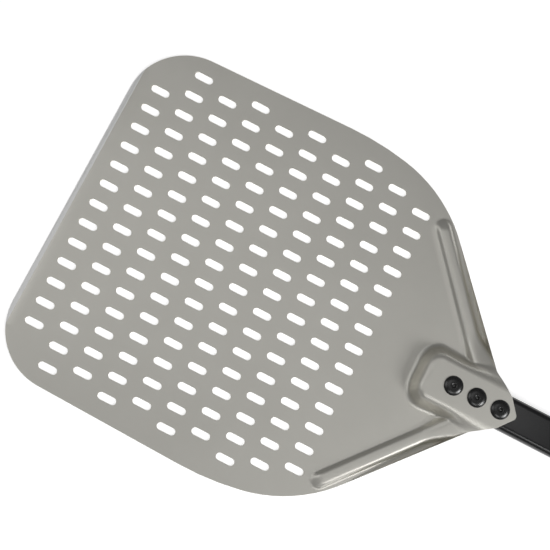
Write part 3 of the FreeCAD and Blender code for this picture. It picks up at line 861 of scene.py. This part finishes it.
def section(half_width: float, half_height: float, corner: float, segments: int = 8) -> list[Point]:
    """Return a rounded rectangle's outline, across and up, about the origin."""
    corners = [
        (half_width, -half_height, corner),
        (half_width, half_height, corner),
        (-half_width, half_height, corner),
        (-half_width, -half_height, corner),
    ]
    return rounded(corners, 90.0 / segments)


@dataclass(frozen=True)
class Ring:
    """One cross-section along the handle: station in metres, and how much it is drawn in."""

    station: float
    draw_in: float = 0.0


def extruded(name: str, shape: Sequence[Point], level: float, rings: Sequence[Ring]) -> bpy.types.Object:
    """Extrude a section along X through rings that are drawn in by small amounts.

    Args:
        name: the piece's name.
        shape: the section, across and up, in metres.
        level: height of the section's middle.
        rings: the stations, in order.

    Returns:
        The piece, one closed solid.
    """
    half_width = max(point[0] for point in shape)
    half_height = max(point[1] for point in shape)
    Bench.clear()
    bpy.ops.mesh.primitive_circle_add(vertices=len(shape), radius=1.0, fill_type="NGON")
    piece = Bench.name(name)
    first = rings[0]
    shrink_y = 1.0 - first.draw_in / half_width
    shrink_z = 1.0 - first.draw_in / half_height
    for vertex, (y, z) in zip(piece.data.vertices, shape):
        vertex.co = (first.station, y * shrink_y, level + z * shrink_z)
    Bench.pick_all(piece)
    for before, ring in zip(rings, rings[1:]):
        Bench.pull(x=ring.station - before.station)
        scale_y = (half_width - ring.draw_in) / (half_width - before.draw_in)
        scale_z = (half_height - ring.draw_in) / (half_height - before.draw_in)
        Bench.spread((1.0, scale_y, scale_z), (ring.station, 0.0, level))
    Bench.done()
    Bench.tidy(piece)
    return piece


def end_round(station: float, radius: float, towards: int, steps: int = 4) -> list[Ring]:
    """Return rings that round a piece's end, in the order from the end inwards."""
    rings = []
    for part in range(steps + 1):
        angle = math.pi / 2 * part / steps
        along = station + towards * radius * (1 - math.cos(angle))
        rings.append(Ring(along, radius * (1 - math.sin(angle))))
    return rings


@dataclass
class Handle:
    """Tube, front plug, grip and end cap. Sizes are in millimetres."""

    wall: float = 1.5
    corner: float = 5.5
    grip_corner: float = 7.5
    grip_round: float = 1.4
    groove_depth: float = 0.7
    groove_pitch: float = 7.0
    groove_count: int = 12
    groove_steps: int = 8
    tube_ease: float = 0.3
    past: float = 2.0
    spigot_gap: float = 0.1
    plug_inset: float = 0.5
    plug_round: float = 0.8
    plug_overlap: float = 0.5
    plug_lead: float = 0.6
    rear_round: float = 0.5
    collar_length: float = 5.0
    cap_overlap: float = 1.0
    eye_round: float = 1.1
    eye_corner_share: float = 0.999
    eye_hole: float = 10.0
    eye_width: float = 24.0
    eye_thickness: float = 9.0

    def make_tube(self) -> bpy.types.Object:
        """Return the hollow tube with lightly eased ends."""
        low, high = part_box("handle_tube")
        half_width, half_height = high.y, (high.z - low.z) / 2
        level = (high.z + low.z) / 2
        ease = self.tube_ease * MM
        shape = section(half_width, half_height, self.corner * MM)
        front = end_round(low.x, ease, towards=1, steps=2)
        rear = end_round(high.x, ease, towards=-1, steps=2)[::-1]
        tube = extruded("tube_length", shape, level, front + rear)
        wall = self.wall * MM
        bore = section(half_width - wall, half_height - wall, (self.corner - self.wall) * MM)
        beyond = self.past * MM
        core = extruded("core", bore, level, [Ring(low.x - beyond), Ring(high.x + beyond)])
        Bench.combine(tube, core, Combine.CUT)
        Bench.smooth(tube, angle=30.0)
        Bench.dress(tube, SATIN_TUBE.make())
        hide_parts("handle_tube")
        return tube

    def make_plug(self, nylon: bpy.types.Material) -> bpy.types.Object:
        """Return the plug in the tube's front end, with a rounded flange."""
        low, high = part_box("tube_front_plug")
        tube_low, tube_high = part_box("handle_tube")
        level = (high.z + low.z) / 2
        half_height = (high.z - low.z) / 2
        inset = self.plug_inset * MM
        flange = section(high.y, half_height, (self.corner - self.plug_inset) * MM)
        rings = end_round(low.x, self.plug_round * MM, towards=1) + [Ring(tube_low.x)]
        plug = extruded("plug_moulding", flange, level, rings)
        wall = self.wall * MM + self.spigot_gap * MM
        spigot_corner = (self.corner - self.wall) * MM
        spigot = section(tube_high.y - wall, half_height + inset - wall, spigot_corner)
        core_rings = [
            Ring(tube_low.x - self.plug_overlap * MM),
            Ring(high.x - self.plug_lead * MM),
            Ring(high.x, draw_in=inset),
        ]
        core = extruded("spigot", spigot, level, core_rings)
        Bench.combine(plug, core, Combine.JOIN)
        Bench.smooth(plug, angle=30.0)
        Bench.dress(plug, nylon)
        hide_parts("tube_front_plug")
        return plug

    def grip_rings(self, front: float, rear: float) -> list[Ring]:
        """Return the grip's rings: rounded ends and a row of shallow finger grooves."""
        rings = end_round(front, self.grip_round * MM, towards=1)
        start = (front + rear) / 2 - self.groove_pitch * MM * self.groove_count / 2
        for groove in range(self.groove_count):
            for part in range(self.groove_steps):
                share = part / self.groove_steps
                dip = 0.5 - 0.5 * math.cos(2 * math.pi * share)
                station = start + (groove + share) * self.groove_pitch * MM
                rings.append(Ring(station, self.groove_depth * MM * dip))
        rings.append(Ring(start + self.groove_count * self.groove_pitch * MM))
        return rings + end_round(rear, self.rear_round * MM, towards=-1, steps=2)[::-1]

    def make_grip(self) -> bpy.types.Object:
        """Return the grip sleeve."""
        low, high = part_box("grip_sleeve")
        level = (high.z + low.z) / 2
        half_height = (high.z - low.z) / 2
        shape = section(high.y, half_height, self.grip_corner * MM)
        grip = extruded("grip_moulding", shape, level, self.grip_rings(low.x, high.x))
        tube_low, tube_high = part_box("handle_tube")
        bore = section(tube_high.y, (tube_high.z - tube_low.z) / 2, self.corner * MM)
        beyond = self.past * MM
        core = extruded("core", bore, (tube_high.z + tube_low.z) / 2,
                        [Ring(low.x - beyond), Ring(high.x + beyond)])
        Bench.combine(grip, core, Combine.CUT)
        Bench.smooth(grip, angle=40.0)
        Bench.dress(grip, SOFT_GRIP.make())
        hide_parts("grip_sleeve")
        return grip

    def make_cap(self, nylon: bpy.types.Material) -> bpy.types.Object:
        """Return the end cap: collar, spigot and hanging eye with a rounded hole."""
        low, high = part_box("end_cap")
        tube_low, tube_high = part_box("handle_tube")
        grip_low, grip_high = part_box("grip_sleeve")
        level = (grip_high.z + grip_low.z) / 2
        shape = section(grip_high.y, (grip_high.z - grip_low.z) / 2, self.grip_corner * MM)
        collar_rear = tube_high.x + self.collar_length * MM
        rings = end_round(tube_high.x, self.rear_round * MM, towards=1, steps=2)
        rings += end_round(collar_rear, self.grip_round * MM, towards=-1)[::-1]
        cap = extruded("cap_moulding", shape, level, rings)

        radius = self.eye_width / 2 * MM
        middle = high.x - radius
        half = self.eye_thickness / 2 * MM
        root = collar_rear - self.cap_overlap * MM
        corner = radius * self.eye_corner_share
        tongue = [
            (root, -radius, 0.0),
            (high.x, -radius, corner),
            (high.x, radius, corner),
            (root, radius, 0.0),
        ]
        eye = plate("eye", rounded(tongue, step=5.0), [(level - half, 0.0), (level + half, 0.0)])
        hole = circle(self.eye_hole / 2 * MM, count=48, middle=(middle, 0.0))
        drill = plate("drill", hole, [(level - half * 2, 0.0), (level + half * 2, 0.0)])
        Bench.combine(eye, drill, Combine.CUT)
        Bench.round_edges(eye, width=self.eye_round * MM, segments=3, angle=50.0)
        Bench.combine(cap, eye, Combine.JOIN)

        wall = self.wall * MM + self.spigot_gap * MM
        tube_half = (tube_high.z - tube_low.z) / 2
        tube_level = (tube_high.z + tube_low.z) / 2
        spigot = section(tube_high.y - wall, tube_half - wall, (self.corner - self.wall) * MM)
        core_rings = [Ring(low.x), Ring(tube_high.x + self.cap_overlap * MM)]
        core = extruded("spigot", spigot, tube_level, core_rings)
        Bench.combine(cap, core, Combine.JOIN)
        Bench.smooth(cap, angle=35.0)
        Bench.dress(cap, nylon)
        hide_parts("end_cap")
        return cap

    def build(self) -> list[bpy.types.Object]:
        """Build the handle's pieces."""
        nylon = MOULDED_NYLON.make()
        return [self.make_tube(), self.make_plug(nylon), self.make_grip(), self.make_cap(nylon)]


# ------------------------------------------------------------------ the rivets


def turned(name: str, x: float, profile: Sequence[Point], segments: int = 64) -> bpy.types.Object:
    """Turn a closed profile round an upright axis.

    Args:
        name: the piece's name.
        x: place of the axis on X.
        profile: radius and level of each point, in order round the profile.
        segments: faces round the axis.

    Returns:
        The turned piece, a closed ring.
    """
    Bench.clear()
    first_radius, first_level = profile[0]
    bpy.ops.mesh.primitive_circle_add(vertices=segments, radius=first_radius,
                                      location=(x, 0.0, first_level), fill_type="NOTHING")
    piece = Bench.name(name)
    bpy.ops.object.transform_apply(location=True, rotation=True, scale=True)
    Bench.pick_all(piece)
    loop = list(profile) + [profile[0]]
    for (radius, level), (next_radius, next_level) in zip(loop, loop[1:]):
        bpy.ops.mesh.extrude_edges_move(TRANSFORM_OT_translate={"value": (0.0, 0.0, next_level - level)})
        scale = next_radius / radius
        Bench.spread((scale, scale, 1.0), (x, 0.0, next_level))
    Bench.done()
    Bench.tidy(piece)
    return piece


@dataclass
class Rivet:
    """One set blind rivet, body and stem. Sizes are in millimetres."""

    node: str
    bore: float = 1.4
    rim: float = 0.55
    shank: float = 2.5
    bulge: float = 3.8
    bulge_end: float = 0.82
    bulge_swell: float = 0.18
    bulge_shoulder: float = 0.8
    bulge_start: float = 0.3
    bulge_length: float = 3.7
    bulge_steps: int = 8
    tail_length: float = 4.2
    flange_ease: float = 0.15
    rim_share: float = 0.7
    dome_inset: float = 0.12
    dome_steps: int = 14
    mouth: float = 0.75
    mouth_roll: Sequence[tuple[float, float]] = ((0.35, 0.12), (0.08, 0.42), (0.0, 0.8))

    def profile(self, low: Vector, high: Vector, seat: float) -> list[Point]:
        """Return the body's profile: blind bulge, shank, domed flange and rolled mouth.

        Args:
            low: lowest corner of the body's box.
            high: highest corner of the body's box.
            seat: level that the flange sits on.

        Returns:
            Radius and level of each point, in order from the tail up to the mouth.
        """
        shank = self.shank * MM
        bulge = self.bulge * MM
        flange = (high.y - low.y) / 2
        bore = self.bore * MM
        rim = self.rim * MM
        dome = high.z - seat - rim
        hold = seat - (low.z + self.tail_length * MM)
        tail = low.z
        points = [(bore, tail), (bulge * self.bulge_end, tail)]
        for part in range(self.bulge_steps + 1):
            angle = math.pi * part / self.bulge_steps
            swell = bulge * (self.bulge_end + self.bulge_swell * math.sin(angle))
            rise = self.bulge_start + self.bulge_length * part / self.bulge_steps
            points.append((swell, tail + rise * MM))
        points += [(bulge * self.bulge_shoulder, seat - hold), (shank, seat - hold), (shank, seat)]
        ease = self.flange_ease * MM
        points += [(flange - ease, seat), (flange, seat + ease), (flange, seat + rim * self.rim_share)]
        mouth = bore + self.mouth * MM
        for part in range(self.dome_steps + 1):
            share = 1.0 - part / self.dome_steps
            radius = mouth + (flange - self.dome_inset * MM - mouth) * share
            points.append((radius, seat + rim + dome * (1.0 - share ** 3)))
        points += [(bore + out * MM, high.z - down * MM) for out, down in self.mouth_roll]
        return points

    def build(self, gloss: bpy.types.Material, steel: bpy.types.Material,
              stems: dict[str, bpy.types.Object], seat: float) -> bpy.types.Object:
        """Turn the body and dress it and its stem.

        Args:
            gloss: finish of the body.
            steel: finish of the stem.
            stems: the frame's nodes by name.
            seat: level that the flange sits on.

        Returns:
            The turned body.
        """
        low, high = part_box(self.node + "_body")
        middle = (low.x + high.x) / 2
        body = turned(self.node + "_shell", middle, self.profile(low, high, seat))
        Bench.smooth(body, angle=38.0)
        Bench.dress(body, gloss)
        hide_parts(self.node + "_body")
        Bench.dress(stems[self.node + "_stem"], steel)
        return body


# ------------------------------------------------------------------ the studio


def stand(place: Sequence[float], aim: Sequence[float], heading: float) -> Matrix:
    """Return where something stands that looks at an aim.

    Args:
        place: where it stands.
        aim: what it looks at.
        heading: direction of its own right side, in degrees from X, seen from above.

    Returns:
        The matrix that stands it there.
    """
    back = (Vector(place) - Vector(aim)).normalized()
    turn = math.radians(heading)
    level = Vector((math.cos(turn), math.sin(turn), 0.0))
    right = (level - back * level.dot(back)).normalized()
    basis = Matrix((right, back.cross(right), back)).transposed().to_4x4()
    return Matrix.Translation(place) @ basis


@dataclass(frozen=True)
class SoftLight:
    """A flat light: a panel with its length along X, aimed at the peel."""

    name: str
    place: tuple[float, float, float]
    aim: tuple[float, float, float]
    length: float
    width: float
    power: float

    def hang(self) -> bpy.types.Object:
        """Hang the light and turn it to its aim."""
        data = bpy.data.lights.new(self.name, "AREA")
        data.shape = "RECTANGLE"
        data.size = self.length
        data.size_y = self.width
        data.energy = self.power
        light = bpy.data.objects.new(self.name, data)
        bpy.context.scene.collection.objects.link(light)
        light.visible_camera = False
        light.matrix_world = stand(self.place, self.aim, 0.0)
        return light


@dataclass
class Studio:
    """Floor, surroundings, lights and camera."""

    camera_place: tuple[float, float, float] = (-0.2272, -0.0938, 0.8314)
    camera_aim: tuple[float, float, float] = (-0.2172, 0.0155, 0.0015)
    camera_heading: float = 27.48
    lens: float = 66.96
    sensor: float = 36.0
    nearest: float = 0.01
    floor_radius: float = 6.0
    floor_depth: float = 0.02
    surroundings: float = 0.14
    lights: Sequence[SoftLight] = (
        SoftLight("top_soft", (-0.40, 0.36, 2.30), (-0.20, 0.0, 0.0), length=1.30, width=1.10, power=3.0),
        SoftLight("large_soft", (-1.62, -0.22, 1.62), (-0.15, 0.0, 0.0), length=1.20, width=1.20, power=5.4),
        SoftLight("near_soft", (0.30, -0.92, 1.26), (0.00, 0.0, 0.0), length=0.70, width=0.40, power=2.5),
        SoftLight("compact", (1.06, -0.25, 0.88), (-0.03, 0.0, 0.0), length=0.54, width=0.54, power=10.5),
    )

    def lay_floor(self) -> None:
        """Lay the plain pale floor that the peel lies on."""
        Bench.clear()
        bpy.ops.mesh.primitive_circle_add(vertices=96, radius=self.floor_radius, fill_type="NGON")
        floor = Bench.name("floor")
        Bench.pick_all(floor)
        Bench.pull(z=-self.floor_depth)
        Bench.done()
        Bench.tidy(floor)
        Bench.dress(floor, PaleFloor().make())

    def light(self) -> None:
        """Set even white surroundings and hang the lights."""
        world = bpy.data.worlds.new("surroundings")
        bpy.context.scene.world = world
        world.use_nodes = True
        background = world.node_tree.nodes["Background"]
        background.inputs["Color"].default_value = (1.0, 1.0, 1.0, 1.0)
        background.inputs["Strength"].default_value = self.surroundings
        for light in self.lights:
            light.hang()
        scene = bpy.context.scene
        scene.view_settings.view_transform = "Standard"
        scene.view_settings.look = "None"

    def stand_camera(self) -> None:
        """Stand the camera over the blade, turned so that the handle runs down to the right."""
        data = bpy.data.cameras.new("camera")
        data.lens = self.lens
        data.sensor_width = self.sensor
        data.clip_start = self.nearest
        camera = bpy.data.objects.new("camera", data)
        bpy.context.scene.collection.objects.link(camera)
        camera.matrix_world = stand(self.camera_place, self.camera_aim, self.camera_heading)
        bpy.context.scene.camera = camera

    def build(self) -> None:
        """Set up the whole studio."""
        self.lay_floor()
        self.light()
        self.stand_camera()


# ------------------------------------------------------------------ assembly


def build_rivets(nodes: dict[str, bpy.types.Object]) -> Iterator[bpy.types.Object]:
    """Build the four rivets.

    Args:
        nodes: the frame's nodes by name.

    Yields:
        Each rivet's body.
    """
    gloss = GLOSS_RIVET.make()
    steel = BrokenSteel().make()
    blade_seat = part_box("blade")[1].z
    grip_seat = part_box("grip_sleeve")[1].z
    for name in ("rivet_front", "rivet_middle", "rivet_rear"):
        yield Rivet(name).build(gloss, steel, nodes, blade_seat)
    yield Rivet("grip_rivet").build(gloss, steel, nodes, grip_seat)


def main() -> None:
    """Build the peel's pieces and the studio, and log each piece's count of faces."""
    logging.basicConfig(level=logging.INFO, format="%(name)s: %(message)s")
    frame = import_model()
    Studio().build()
    pieces = Blade().build() + Handle().build() + list(build_rivets(frame["nodes"]))
    for piece in pieces:
        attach(piece, BODY)
        LOG.info("%s: %d faces", piece.name, len(piece.data.polygons))


if __name__ == "__main__":
    main()
